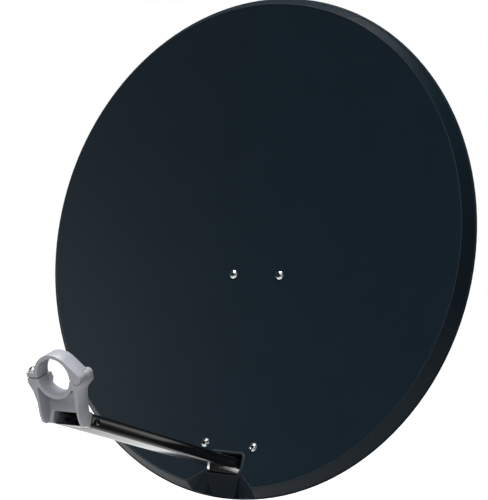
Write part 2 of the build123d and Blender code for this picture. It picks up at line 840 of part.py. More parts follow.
# ---------------------------------------------------------------- LNB clamp
bore = lnb_neck / 2
ring_outer = bore + ring_wall
strap_base = split_height + split_gap
knuckle_middle = -ring_length / 2
knuckle_joint = knuckle_middle + knuckle_gap / 2
knuckle_clearance = knuckle_radius + knuckle_gap
knuckle_reach = sqrt(knuckle_x**2 + knuckle_drop**2)
top_lean = asin((ring_outer - knuckle_radius) / knuckle_reach) + atan2(knuckle_drop, knuckle_x)
cheek_inner = cheek_half - cheek_wall
screw_spot = ring.from_local_coords((clamp_screw_x, 0, -clamp_ear_middle))
pocket_depth = cheek_depth - web_wall
toe_top = toe_height - cheek_drop


def ring_plane(z, x=0.0, y=0.0):
    """Plane square to the ring's axis at this z, facing forward."""
    return Plane(ring.from_local_coords((x, y, z)), x_dir=right, z_dir=ring_dir)


def up_plane(height):
    """Plane across the clamp screw at this height above the ring's axis, facing up."""
    return Plane(screw_spot + ring.y_dir * height, x_dir=right, z_dir=ring.y_dir)


def top_spot(radius, x=0.0, y=0.0):
    """Where the strap's straight top leaves a circle of this radius round (x, y)."""
    return x + radius * sin(top_lean), y + radius * cos(top_lean)


hinge_front = ring_plane(0, knuckle_x, -knuckle_drop)
ear_front = ring_plane(clamp_ear_length / 2 - clamp_ear_middle)
tongue_spots = [(side * (tube_inner - tongue_fit - tongue_wall / 2), 0) for side in (-1, 1)]
stop_width = cheek_half - tube_inner + tongue_fit + tongue_wall
stop_spots = [(side * (cheek_half - stop_width / 2), 0) for side in (-1, 1)]

with BuildPart() as lnb_holder:
    # Lower half of the ring, two cheeks and the seat of the hinge, as one block.
    with BuildSketch(ring):
        with BuildLine():
            Polyline(
                (-ring_outer, split_height),
                (-cheek_half, -cheek_top),
                (-cheek_half, -cheek_drop),
                (cheek_half, -cheek_drop),
                (cheek_half, -gusset_drop),
                (knuckle_x, -knuckle_heel),
                (knuckle_x + knuckle_radius, -cheek_top),
                (knuckle_x + knuckle_radius, split_height - knuckle_gap),
                (ring_outer, split_height),
                close=True,
            )
        make_face()
    extrude(amount=-ring_length)
    with BuildSketch(ear_front):
        with BuildLine():
            Polyline(
                (-clamp_ear_reach, split_height),
                (-clamp_ear_reach, split_height - clamp_ear_depth),
                (ear_heel - clamp_ear_reach, -ear_heel_drop),
                (-cheek_half, -gusset_drop),
                (-bore, -gusset_drop),
                (-bore, split_height),
                close=True,
            )
        make_face()
    extrude(amount=-clamp_ear_length)
    # The side view tapers below the ring, towards the end of the tube.
    with BuildSketch(ring_side):
        with BuildLine():
            Polyline(
                (0, ring_outer),
                (0, toe_top),
                (-toe_front / 3, toe_top - 0.7 * toe_height),
                (-toe_front, -cheek_drop),
                (toe_back - cheek_depth, -cheek_drop),
                (-cheek_depth, toe_top),
                (-cheek_depth, -shank_drop),
                (-ring_length, -rear_drop),
                (-ring_length, ring_outer),
                close=True,
            )
        make_face()
    extrude(amount=clamp_ear_reach + ring_wall, both=True, mode=Mode.INTERSECT)
    with BuildSketch(ring):
        with Locations((0, -cheek_drop / 2 - pocket_drop)):
            Rectangle(2 * cheek_inner, cheek_drop)
        Circle(ring_outer, mode=Mode.SUBTRACT)
    extrude(amount=-pocket_depth, mode=Mode.SUBTRACT)
    with BuildSketch(ring):
        with Locations((0, -web_drop - cheek_drop / 2)):
            Rectangle(2 * cheek_inner, cheek_drop)
    extrude(amount=-ring_length, mode=Mode.SUBTRACT)
    # Room for the tube, shoulders that stop it, and tongues that go into it.
    with BuildSketch(arm.offset(arm_reach)):
        Rectangle(2 * cheek_half, arm_height + 2 * tongue_fit)
    extrude(amount=-tongue_length, mode=Mode.SUBTRACT)
    with BuildSketch(arm.offset(arm_reach)):
        with Locations(*stop_spots):
            Rectangle(stop_width, arm_height)
    extrude(amount=stop_length)
    with BuildSketch(arm.offset(arm_reach)):
        with Locations(*tongue_spots):
            Rectangle(tongue_wall, arm_height - 2 * arm_wall - 5 * tongue_fit)
    extrude(amount=-tongue_length)
    add(drills(fixing_planes, fixing_size, 2 * tongue_wall + arm_wall), mode=Mode.SUBTRACT)
    # The hinge's rear knuckle and the room for the strap's front knuckle, then the bore.
    add(rods([hinge_front.offset(knuckle_middle - knuckle_gap / 2)], 2 * knuckle_radius,
             knuckle_middle + knuckle_gap / 2))
    with BuildSketch(hinge_front):
        Circle(knuckle_clearance)
    extrude(amount=knuckle_middle - knuckle_gap / 2, mode=Mode.SUBTRACT)
    add(rods([hinge_front], hinge_pin_size, -ring_length), mode=Mode.SUBTRACT)
    add(rods([ring], lnb_neck, -ring_length), mode=Mode.SUBTRACT)
    # The clamp screw's hole in the left ear.
    add(rods([up_plane(0)], clamp_screw_size, -cheek_drop, bolt_fit), mode=Mode.SUBTRACT)
lnb_holder.part.label = "lnb_holder"

with BuildPart() as clamp_strap:
    with BuildSketch(ring):
        Circle(ring_outer)
        with Locations((0, strap_base - ring_outer)):
            Rectangle(2 * ring_outer, 2 * ring_outer, mode=Mode.SUBTRACT)
        with BuildLine():
            Polyline(
                top_spot(ring_outer),
                top_spot(knuckle_radius, knuckle_x, -knuckle_drop),
                (knuckle_x, -knuckle_drop),
                (bore + ring_wall / 2, strap_base),
                close=True,
            )
        make_face()
        Circle(bore, mode=Mode.SUBTRACT)
    extrude(amount=-strap_length)
    with BuildSketch(ear_front):
        with Locations((-(clamp_ear_reach + bore) / 2, strap_base + clamp_lug / 2)):
            Rectangle(clamp_ear_reach - bore, clamp_lug)
        Circle(bore, mode=Mode.SUBTRACT)
    extrude(amount=-clamp_ear_length)
    with BuildSketch(hinge_front.offset(knuckle_joint)):
        Circle(knuckle_clearance)
    extrude(amount=-ring_length, mode=Mode.SUBTRACT)
    add(rods([hinge_front], 2 * knuckle_radius, knuckle_joint))
    # The pin's hole stays closed in front.
    pin_hole = hinge_front.offset(knuckle_gap - pin_cover)
    add(rods([pin_hole], hinge_pin_size, -ring_length, running_fit), mode=Mode.SUBTRACT)
    add(rods([up_plane(0)], clamp_screw_size, ring_outer, running_fit), mode=Mode.SUBTRACT)
    add(rods([up_plane(0)], clamp_screw_size, -ring_outer, running_fit), mode=Mode.SUBTRACT)
clamp_strap.part.label = "clamp_strap"

with BuildPart() as hinge_pin:
    pin_length = ring_length - pin_cover - knuckle_gap
    add(rods([hinge_front.offset(-pin_cover)], hinge_pin_size, -pin_length))
hinge_pin.part.label = "hinge_pin"

screw_seat = strap_base + clamp_lug
with BuildPart() as clamp_washer:
    add(washers([up_plane(screw_seat)], clamp_screw_size))
clamp_washer.part.label = "clamp_washer"

with BuildPart() as clamp_screw:
    head_plane = up_plane(screw_seat + fastener[clamp_screw_size][3])
    reach = screw_seat + fastener[clamp_screw_size][3] - split_height + clamp_screw_grip
    add(
        turned_bolt(
            head_plane,
            clamp_screw_size,
            reach,
            clamp_screw_head,
            clamp_screw_head_height,
            clamp_screw_head_height / 2,
        )
    )
    top = head_plane.offset(clamp_screw_head_height)
    add(cross_recess(top, clamp_screw_head / 2, clamp_screw_head_height / 2), mode=Mode.SUBTRACT)
clamp_screw.part.label = "clamp_screw"

with BuildPart() as holder_screws:
    for plane in fixing_planes:
        crown = fixing_head_height / 2
        add(
            turned_bolt(
                plane, fixing_size, fixing_length, fixing_head, fixing_head_height, crown
            )
        )
        top = plane.offset(fixing_head_height)
        add(cross_recess(top, fixing_head / 2, fixing_head_height / 2), mode=Mode.SUBTRACT)
holder_screws.part.label = "holder_screws"

# ---------------------------------------------------------------- export
os.makedirs("parts", exist_ok=True)
export_step(reflector.part, "parts/reflector.step")
export_step(reflector_screws.part, "parts/reflector_screws.step")
export_step(reflector_washers.part, "parts/reflector_washers.step")
export_step(reflector_nuts.part, "parts/reflector_nuts.step")
export_step(back_support.part, "parts/back_support.step")
export_step(pivot_sleeve.part, "parts/pivot_sleeve.step")
export_step(feed_arm.part, "parts/feed_arm.step")
export_step(arm_bolts.part, "parts/arm_bolts.step")
export_step(arm_nuts.part, "parts/arm_nuts.step")
export_step(tilt_bracket.part, "parts/tilt_bracket.step")
export_step(bracket_rivets.part, "parts/bracket_rivets.step")
export_step(pivot_bolt.part, "parts/pivot_bolt.step")
export_step(pivot_washers.part, "parts/pivot_washers.step")
export_step(pivot_nut.part, "parts/pivot_nut.step")
export_step(lock_bolts.part, "parts/lock_bolts.step")
export_step(lock_washers.part, "parts/lock_washers.step")
export_step(lock_nuts.part, "parts/lock_nuts.step")
export_step(front_jaw.part, "parts/front_jaw.step")
export_step(rear_jaw.part, "parts/rear_jaw.step")
export_step(mast_bolts.part, "parts/mast_bolts.step")
export_step(mast_washers.part, "parts/mast_washers.step")
export_step(mast_nuts.part, "parts/mast_nuts.step")
export_step(lnb_holder.part, "parts/lnb_holder.step")
export_step(holder_screws.part, "parts/holder_screws.step")
export_step(hinge_pin.part, "parts/hinge_pin.step")
export_step(clamp_strap.part, "parts/clamp_strap.step")
export_step(clamp_screw.part, "parts/clamp_screw.step")
export_step(clamp_washer.part, "parts/clamp_washer.step")
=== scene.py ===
"""Looks of an offset satellite dish on its tilting mast bracket.

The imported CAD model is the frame. Each sub-assembly is a class that holds its sizes, in
millimetres, makes its meshes in the row frame and dresses them. The dish looks towards -Y,
+Z is up, and the origin lies on the mast's axis.
"""

import json
import logging
import math
from dataclasses import dataclass
from enum import Enum
from typing import ClassVar

import bmesh
import bpy
from mathutils import Matrix, Vector

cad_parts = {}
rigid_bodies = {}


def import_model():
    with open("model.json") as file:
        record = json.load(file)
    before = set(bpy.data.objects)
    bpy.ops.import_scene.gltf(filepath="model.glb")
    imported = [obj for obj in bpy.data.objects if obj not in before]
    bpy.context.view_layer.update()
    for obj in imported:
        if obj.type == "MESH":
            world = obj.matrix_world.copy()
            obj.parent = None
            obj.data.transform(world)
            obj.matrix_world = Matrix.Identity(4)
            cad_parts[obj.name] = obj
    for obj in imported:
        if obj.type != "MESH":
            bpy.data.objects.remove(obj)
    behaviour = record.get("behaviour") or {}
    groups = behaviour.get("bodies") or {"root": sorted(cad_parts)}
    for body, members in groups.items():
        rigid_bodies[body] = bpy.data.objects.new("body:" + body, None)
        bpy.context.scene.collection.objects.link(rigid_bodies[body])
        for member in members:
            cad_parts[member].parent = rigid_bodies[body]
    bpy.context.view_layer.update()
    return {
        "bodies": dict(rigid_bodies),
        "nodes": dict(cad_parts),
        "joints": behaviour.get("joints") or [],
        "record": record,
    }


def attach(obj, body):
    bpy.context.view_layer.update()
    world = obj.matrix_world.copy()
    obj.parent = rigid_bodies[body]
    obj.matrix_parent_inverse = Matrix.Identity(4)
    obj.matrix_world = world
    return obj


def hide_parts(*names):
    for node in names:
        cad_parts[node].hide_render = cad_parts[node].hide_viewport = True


LOG = logging.getLogger("dish")
MM = 0.001
RIGHT = Vector((1.0, 0.0, 0.0))
SHARP_ANGLE = 32.0
# Face attribute that marks the eased edges, where the dish's coat paints a lighter highlight that
# also stands for scuffed paint.
EDGE_HIGHLIGHT_AND_WEAR = "edge_highlight_and_wear"
WHITE = "#ffffff"
MIX_FACTOR, MIX_FIRST, MIX_SECOND, MIX_RESULT = 0, 6, 7, 2


class Slot(Enum):
    """The record's material slots."""

    DISH = "dish_coat"
    BLACK = "black_coat"
    CAST = "cast_grey"
    GALVANISED = "galvanised"
    ZINC = "bright_zinc"


# ---------------------------------------------------------------- colours and nodes
def linear(hex_colour: str) -> tuple[float, float, float, float]:
    """Turn an sRGB hex colour into the linear colour that shaders take.

    Args:
        hex_colour: Six hex digits, with a leading hash.

    Returns:
        Linear red, green and blue, and an alpha of 1.
    """
    steps = [int(hex_colour[place : place + 2], 16) / 255 for place in (1, 3, 5)]
    light = [
        step / 12.92 if step <= 0.04045 else ((step + 0.055) / 1.055) ** 2.4
        for step in steps
    ]
    return light[0], light[1], light[2], 1.0


def per_metre(size_mm: float) -> float:
    """Noise scale, in cells per metre, for a grain of this size in millimetres."""
    return 1 / (size_mm * MM)


def add_node(
    tree: bpy.types.NodeTree,
    kind: str,
    settings: dict[str, object] | None = None,
    links: dict[str, bpy.types.NodeSocket] | None = None,
) -> bpy.types.Node:
    """Add one shader node with its settings and links.

    Args:
        tree: The material's or world's node tree.
        kind: Blender's name for the node.
        settings: Values by socket name, or by attribute name where no socket has it.
        links: Output sockets by the name of the input that they feed.

    Returns:
        The new node.
    """
    node = tree.nodes.new(kind)
    for name, value in (settings or {}).items():
        if name in node.inputs:
            node.inputs[name].default_value = value
        else:
            setattr(node, name, value)
    for name, socket in (links or {}).items():
        tree.links.new(socket, node.inputs[name])
    return node


@dataclass(frozen=True)
class Finish:
    """A paint, plate or casting, with the sizes of its grain in millimetres.

    Attributes:
        name: The material's name.
        dark: The colour in its darker patches.
        light: The colour in its lighter patches.
        patch: Size of those patches.
        metallic: 1 for bare metal, 0 for paint.
        roughness: The mean roughness.
        rough_swing: How far the roughness wanders from its mean.
        grain: Size of the grain that the surface's relief has.
        relief: Depth of that grain.
        ior: Index of refraction of a paint. A metal keeps the default.
        specular: Strength of a paint's gloss, 0.5 where nothing dulls it.
        spangle: True where the zinc froze in flat crystals.
        edge: The lighter colour along the eased sharp edges: a painted highlight, partly also
            scuffed paint where the coat is thin.
    """

    name: str
    dark: str
    light: str
    patch: float
    metallic: float
    roughness: float
    rough_swing: float
    grain: float
    relief: float
    ior: float = 1.5
    specular: float = 0.5
    spangle: bool = False
    edge: str | None = None

    def material(self) -> bpy.types.Material:
        """Make the material, or return it if it is there.

        Returns:
            The node-based material.
        """
        known = bpy.data.materials.get(self.name)
        if known:
            return known
        made = bpy.data.materials.new(self.name)
        made.use_nodes = True
        tree = made.node_tree
        tree.nodes.clear()
        place = add_node(tree, "ShaderNodeTexCoord").outputs["Object"]
        shade = self.add_shade(tree, place)
        tone = self.add_tone(tree, shade)
        rough = add_node(
            tree,
            "ShaderNodeMapRange",
            {
                "To Min": self.roughness - self.rough_swing,
                "To Max": self.roughness + self.rough_swing,
            },
            {"Value": shade},
        )
        grain = add_node(
            tree,
            "ShaderNodeTexNoise",
            {"Scale": per_metre(self.grain), "Detail": 2.0},
            {"Vector": place},
        )
        bump = add_node(
            tree,
            "ShaderNodeBump",
            {"Strength": 1.0, "Distance": self.relief * MM},
            {"Height": grain.outputs["Fac"]},
        )
        shader = add_node(
            tree,
            "ShaderNodeBsdfPrincipled",
            {"Metallic": self.metallic},
            {
                "Base Color": tone,
                "Roughness": rough.outputs["Result"],
                "Normal": bump.outputs["Normal"],
            },
        )
        if self.metallic < 1.0:
            shader.inputs["IOR"].default_value = self.ior
            shader.inputs["Specular IOR Level"].default_value = self.specular
        add_node(tree, "ShaderNodeOutputMaterial", {}, {"Surface": shader.outputs["BSDF"]})
        return made

    def add_shade(
        self, tree: bpy.types.NodeTree, place: bpy.types.NodeSocket
    ) -> bpy.types.NodeSocket:
        """Add the patches, as crystals or as soft clouds.

        Args:
            tree: The material's node tree.
            place: The coordinates that the patches follow.

        Returns:
            The socket that says how light each patch is, from 0 to 1.
        """
        scale = per_metre(self.patch)
        if self.spangle:
            patches = add_node(
                tree,
                "ShaderNodeTexVoronoi",
                {"Scale": scale, "Randomness": 1.0},
                {"Vector": place},
            )
            parts = add_node(
                tree, "ShaderNodeSeparateColor", {}, {"Color": patches.outputs["Color"]}
            )
            return parts.outputs["Red"]
        clouds = add_node(
            tree,
            "ShaderNodeTexNoise",
            {"Scale": scale, "Detail": 3.0, "Roughness": 0.55},
            {"Vector": place},
        )
        return clouds.outputs["Fac"]

    def add_tone(
        self, tree: bpy.types.NodeTree, shade: bpy.types.NodeSocket
    ) -> bpy.types.NodeSocket:
        """Add the colour of the patches, and the lighter colour painted on the eased edges as a
        highlight, partly scuffed paint.

        Args:
            tree: The material's node tree.
            shade: How light each patch is.

        Returns:
            The socket that gives the colour.
        """
        patches = add_node(tree, "ShaderNodeMix", {"data_type": "RGBA"})
        patches.inputs[MIX_FIRST].default_value = linear(self.dark)
        patches.inputs[MIX_SECOND].default_value = linear(self.light)
        tree.links.new(shade, patches.inputs[MIX_FACTOR])
        if not self.edge:
            return patches.outputs[MIX_RESULT]
        # Lighter colour painted on the eased edges: a painted highlight, partly scuffed paint.
        highlight_and_wear_mask = add_node(tree, "ShaderNodeAttribute", {"attribute_name": EDGE_HIGHLIGHT_AND_WEAR})
        highlight_and_wear_tone = add_node(tree, "ShaderNodeMix", {"data_type": "RGBA"})
        highlight_and_wear_tone.inputs[MIX_SECOND].default_value = linear(self.edge)
        tree.links.new(highlight_and_wear_mask.outputs["Fac"], highlight_and_wear_tone.inputs[MIX_FACTOR])
        tree.links.new(patches.outputs[MIX_RESULT], highlight_and_wear_tone.inputs[MIX_FIRST])
        return highlight_and_wear_tone.outputs[MIX_RESULT]


# Anthracite polyester powder coat: satin, with a faint orange peel.
POWDER_COAT = Finish(
    name="anthracite_powder_coat",
    dark="#0e1a22",
    light="#111e27",
    patch=60.0,
    metallic=0.0,
    roughness=0.42,
    rough_swing=0.02,
    grain=1.6,
    relief=0.004,
    ior=1.45,
    specular=0.12,
    # Lighter grey painted on the eased crease, hem and cut-out edges: a painted highlight, partly
    # scuffed paint.
    edge="#454d50",
)
# Black stove enamel on the tube: smooth enough to mirror the floor at a low angle.
STOVE_ENAMEL = Finish(
    name="black_stove_enamel",
    dark="#0b0b0d",
    light="#0f0f11",
    patch=40.0,
    metallic=0.0,
    roughness=0.16,
    rough_swing=0.03,
    grain=5.0,
    relief=0.003,
    ior=1.5,
    specular=0.6,
)
# Black polyester powder coat on folded sheet: dull, with a fine texture.
BLACK_POWDER = Finish(
    name="black_powder_coat",
    dark="#0c0d0e",
    light="#121314",
    patch=30.0,
    metallic=0.0,
    roughness=0.62,
    rough_swing=0.04,
    grain=0.8,
    relief=0.01,
    ior=1.5,
    specular=0.16,
)
# Painted aluminium die casting: pale lilac grey and slightly pebbled.
DIE_CASTING = Finish(
    name="grey_die_casting",
    dark="#a4a7b0",
    light="#b8babf",
    patch=9.0,
    metallic=0.2,
    roughness=0.48,
    rough_swing=0.06,
    grain=0.9,
    relief=0.02,
    ior=1.5,
)
# Bright zinc plate on turned steel: sharp, slightly blue highlights.
ZINC_PLATE = Finish(
    name="bright_zinc_plate",
    dark="#c3c8cc",
    light="#dde0e2",
    patch=3.0,
    metallic=1.0,
    roughness=0.24,
    rough_swing=0.06,
    grain=0.5,
    relief=0.004,
)
# Hot-dip galvanised sheet: grey crystals some millimetres across.
GALVANISED = Finish(
    name="galvanised_sheet",
    dark="#8d9296",
    light="#a9aeb1",
    patch=7.0,
    metallic=0.85,
    roughness=0.42,
    rough_swing=0.08,
    grain=1.2,
    relief=0.006,
    spangle=True,
)

FINISHES = {
    Slot.DISH: POWDER_COAT,
    Slot.BLACK: STOVE_ENAMEL,
    Slot.CAST: DIE_CASTING,
    Slot.GALVANISED: GALVANISED,
    Slot.ZINC: ZINC_PLATE,
}


# ---------------------------------------------------------------- frames and meshes
@dataclass(frozen=True)
class Place:
    """A right-handed frame in the row frame, with its origin in millimetres."""

    origin: Vector
    x: Vector
    y: Vector
    z: Vector

    def matrix(self) -> Matrix:
        """The matrix that takes local millimetres to metres in the row frame."""
        turn = Matrix((self.x, self.y, self.z)).transposed().to_4x4()
        return Matrix.Scale(MM, 4) @ Matrix.Translation(self.origin) @ turn

    def at(self, x: float, y: float, z: float) -> Vector:
        """The point in the row frame, in millimetres, of local coordinates."""
        return self.origin + self.x * x + self.y * y + self.z * z

    def local(self, point: Vector) -> Vector:
        """Local coordinates of a point given in row millimetres."""
        away = point - self.origin
        return Vector((away.dot(self.x), away.dot(self.y), away.dot(self.z)))


def copied_node(frame: dict, node: str, merge: float = 0.002) -> bmesh.types.BMesh:
    """Copy a CAD node's mesh and merge its loose triangles.

    Args:
        node: The CAD node's name.
        merge: Corners closer than this, in millimetres, become one.

    Returns:
        The merged mesh.
    """
    bm = bmesh.new()
    bm.from_mesh(frame["nodes"][node].data)
    bmesh.ops.remove_doubles(bm, verts=bm.verts, dist=merge * MM)
    return bm


def join_flats(bm: bmesh.types.BMesh, angle: float = 0.4) -> None:
    """Join faces that lie in one plane.

    Args:
        bm: The mesh.
        angle: Faces that turn by less than this, in degrees, are joined.
    """
    bmesh.ops.dissolve_limit(
        bm,
        angle_limit=math.radians(angle),
        use_dissolve_boundaries=False,
        verts=bm.verts,
        edges=bm.edges,
    )


def is_sharp(edge: bmesh.types.BMEdge) -> bool:
    """Whether the edge's two faces turn by more than the sharp angle."""
    sharp = math.radians(SHARP_ANGLE)
    return len(edge.link_faces) == 2 and edge.calc_face_angle(0.0) > sharp


def ease_edges(bm: bmesh.types.BMesh, width: float, thin: float = 0.9) -> None:
    """Round the sharp edges of a merged mesh, and mark the rounding for a painted highlight,
    partly scuffed paint.

    Args:
        bm: The mesh.
        width: Width of the rounding, in millimetres.
        thin: A new face takes the painted edge highlight where it is thinner than this share of
            the width.
    """
    # Mask of the thin rounding faces, where the dish's coat paints a lighter highlight that also
    # stands for scuffed paint.
    highlight_and_wear_layer = bm.faces.layers.float.new(EDGE_HIGHLIGHT_AND_WEAR)
    rounded = bmesh.ops.bevel(
        bm,
        geom=[edge for edge in bm.edges if is_sharp(edge)],
        offset=width * MM,
        offset_type="OFFSET",
        segments=2,
        profile=0.5,
        affect="EDGES",
        clamp_overlap=False,
        material=-1,
    )
    for face in rounded["faces"]:
        longest = max(edge.calc_length() for edge in face.edges)
        if face.calc_area() < thin * width * MM * longest:
            face[highlight_and_wear_layer] = 1.0


def trim_corners(bm: bmesh.types.BMesh, width: float) -> None:
    """Chamfer the corners of hexagons, where three sharp edges meet.

    Args:
        bm: The mesh.
        width: How far each corner is cut back along its edges, in millimetres.
    """
    corners = [
        vert
        for vert in bm.verts
        if len(vert.link_edges) == 3 and all(is_sharp(edge) for edge in vert.link_edges)
    ]
    bmesh.ops.bevel(
        bm,
        geom=corners,
        offset=width * MM,
        offset_type="OFFSET",
        segments=1,
        profile=0.5,
        affect="VERTICES",
        clamp_overlap=True,
        material=-1,
    )


def make_piece(
    bm: bmesh.types.BMesh,
    name: str,
    body: str,
    slot: Slot,
    replaces: tuple[str, ...] = (),
    smooth_angle: float = SHARP_ANGLE,
    finish: Finish | None = None,
) -> bpy.types.Object:
    """Turn a bmesh into a piece that rides on a body.

    Args:
        bm: The mesh, in metres in the row frame. It is freed.
        name: The piece's name.
        body: The CAD body that it moves with.
        slot: The record's material slot, which says its finish.
        replaces: CAD nodes that it stands for.
        smooth_angle: Faces that turn by less than this, in degrees, shade as one.
        finish: Its finish, where the slot's own isn't the one.

    Returns:
        The new object.
    """
    mesh = bpy.data.meshes.new(name)
    bm.to_mesh(mesh)
    bm.free()
    mesh.materials.clear()
    mesh.materials.append((finish or FINISHES[slot]).material())
    for face in mesh.polygons:
        face.use_smooth = True
        face.material_index = 0
    mesh.set_sharp_from_angle(angle=math.radians(smooth_angle))
    piece = bpy.data.objects.new(name, mesh)
    bpy.context.scene.collection.objects.link(piece)
    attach(piece, body)
    if replaces:
        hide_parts(*replaces)
    LOG.info("%s: %d faces on %s", name, len(mesh.polygons), body)
    return piece


# ---------------------------------------------------------------- threads
def islands(bm: bmesh.types.BMesh) -> list[list[bmesh.types.BMVert]]:
    """Sort the vertices into their connected solids, in an order that every run repeats."""
    waiting = set(bm.verts)
    found = []
    while waiting:
        front = [waiting.pop()]
        solid = []
        while front:
            vert = front.pop()
            solid.append(vert)
            near = {edge.other_vert(vert) for edge in vert.link_edges} & waiting
            waiting -= near
            front.extend(near)
        found.append(solid)
    return sorted(found, key=lambda solid: min(tuple(vert.co) for vert in solid))


@dataclass(frozen=True)
class Thread:
    """A metric thread at the tip of each shank of a group of fasteners.

    Attributes:
        axis: The line that the shanks run along, either way.
        size: Its outer diameter, in millimetres.
        pitch: The rise of one turn.
        length: How far it runs back from the tip.
        STEPS: Faces round one turn.
        HEAD_DEPTH: How much of each end is measured, in millimetres, to tell tip from head.
        CORE_DEPTH: Depth of the core below the crest, in pitches.
        ROOT_DEPTH: Depth of the ridge's foot, in pitches, sunk into the core.
        FOOT_HALF: Half the width of the ridge's foot, in pitches.
        CREST_HALF: Half the width of its crest.
        RUN_OUT: Length of the cone between shank and core, in pitches.
        LEAD_IN: Where the first turn starts, in pitches.
        SPARE_TURNS: Turns that are left off, so that the ridge ends inside the tip.
    """

    axis: Vector
    size: float
    pitch: float
    length: float
    STEPS: ClassVar[int] = 16
    HEAD_DEPTH: ClassVar[float] = 0.5
    CORE_DEPTH: ClassVar[float] = 0.6
    ROOT_DEPTH: ClassVar[float] = 0.68
    FOOT_HALF: ClassVar[float] = 0.42
    CREST_HALF: ClassVar[float] = 0.07
    RUN_OUT: ClassVar[float] = 0.6
    LEAD_IN: ClassVar[float] = 0.8
    SPARE_TURNS: ClassVar[float] = 1.6

    def cut(self, bm: bmesh.types.BMesh) -> None:
        """Cut the thread on every fastener of the mesh.

        Args:
            bm: The fasteners' merged mesh.
        """
        for solid in islands(bm):
            spots = [vert.co / MM for vert in solid]
            axis, tip = self.find_tip(spots)
            foot = tip - axis * self.length
            self.shrink(bm, foot, axis)
            self.wind(bm, foot, axis)

    def find_tip(self, spots: list[Vector]) -> tuple[Vector, Vector]:
        """Find which way the shank points and the middle of its tip.

        Args:
            spots: The fastener's vertices, in millimetres.

        Returns:
            The axis, towards the tip, and the tip.
        """
        axis = self.axis.normalized()
        side = axis.orthogonal().normalized()
        other = axis.cross(side)
        reaches = [[spot.dot(way) for spot in spots] for way in (side, other, axis)]
        middle = [(min(reach) + max(reach)) / 2 for reach in reaches]
        centre = side * middle[0] + other * middle[1]
        ends = {}
        for way in (1.0, -1.0):
            end = max(way * reach for reach in reaches[2])
            near = [spot for spot in spots if way * spot.dot(axis) > end - self.HEAD_DEPTH]
            wide = max((spot - centre - axis * spot.dot(axis)).length for spot in near)
            ends[way] = (wide, centre + axis * way * end)
        way = min(ends, key=lambda key: ends[key][0])
        return axis * way, ends[way][1]

    def shrink(self, bm: bmesh.types.BMesh, foot: Vector, axis: Vector) -> None:
        """Shrink the shank to the thread's core, with a short run-out.

        Args:
            bm: The fasteners' merged mesh.
            foot: The thread's inner end on the axis.
            axis: The way to the tip.
        """
        core = self.size / 2 - self.CORE_DEPTH * self.pitch
        run_out = self.RUN_OUT * self.pitch
        for step in (0.0, run_out):
            bmesh.ops.bisect_plane(
                bm,
                geom=[*bm.verts, *bm.edges, *bm.faces],
                dist=0.001 * MM,
                plane_co=(foot + axis * step) * MM,
                plane_no=axis,
            )
        for vert in bm.verts:
            away = vert.co / MM - foot
            along = away.dot(axis)
            across = away - axis * along
            if along > run_out / 2 and 0.1 < across.length < self.size / 2 + 0.05:
                share = min(1.0, core / across.length)
                vert.co = (foot + axis * along + across * share) * MM

    def wind(self, bm: bmesh.types.BMesh, foot: Vector, axis: Vector) -> None:
        """Wind the ridge round the core, one turn at a time.

        Args:
            bm: The fasteners' merged mesh.
            foot: The thread's inner end on the axis.
            axis: The way to the tip.
        """
        side = axis.orthogonal().normalized()
        root, crest = self.size / 2 - self.ROOT_DEPTH * self.pitch, self.size / 2
        foot_half, crest_half = self.FOOT_HALF * self.pitch, self.CREST_HALF * self.pitch
        start = foot + axis * self.LEAD_IN * self.pitch
        turn = bmesh.new()
        ring = [
            turn.verts.new((start + side * out + axis * up) * MM)
            for out, up in (
                (root, -foot_half),
                (crest, -crest_half),
                (crest, crest_half),
                (root, foot_half),
            )
        ]
        edges = [turn.edges.new(pair) for pair in zip(ring, ring[1:] + ring[:1])]
        bmesh.ops.spin(
            turn,
            geom=[*edges, *ring],
            cent=start * MM,
            axis=axis,
            dvec=axis * (self.pitch * MM / self.STEPS),
            angle=math.tau,
            steps=self.STEPS,
            use_merge=False,
            use_duplicate=False,
        )
        one = bpy.data.meshes.new("one_turn")
        turn.to_mesh(one)
        for place in range(1, int(self.length / self.pitch - self.SPARE_TURNS)):
            first = len(turn.verts)
            turn.from_mesh(one)
            turn.verts.ensure_lookup_table()
            rise = axis * (place * self.pitch * MM)
            bmesh.ops.translate(turn, verts=turn.verts[first:], vec=rise)
        bmesh.ops.remove_doubles(turn, verts=turn.verts, dist=0.005 * MM)
        bmesh.ops.holes_fill(turn, edges=turn.edges, sides=4)
        bmesh.ops.recalc_face_normals(turn, faces=turn.faces)
        turn.to_mesh(one)
        turn.free()
        bm.from_mesh(one)
        bpy.data.meshes.remove(one)


def raised(angle: float) -> Vector:
    """The direction that looks forward and this many degrees above the horizon."""
    lift = math.radians(angle)
    return Vector((0.0, -math.cos(lift), math.sin(lift)))


# Lines that shanks run along: sideways, front to back, square to the rim, up in the clamp.
ALONG_X = RIGHT
ALONG_Y = Vector((0.0, 1.0, 0.0))
RIM_DIR = raised(8.6533)
RING_UP = raised(-16.8468).cross(RIGHT)


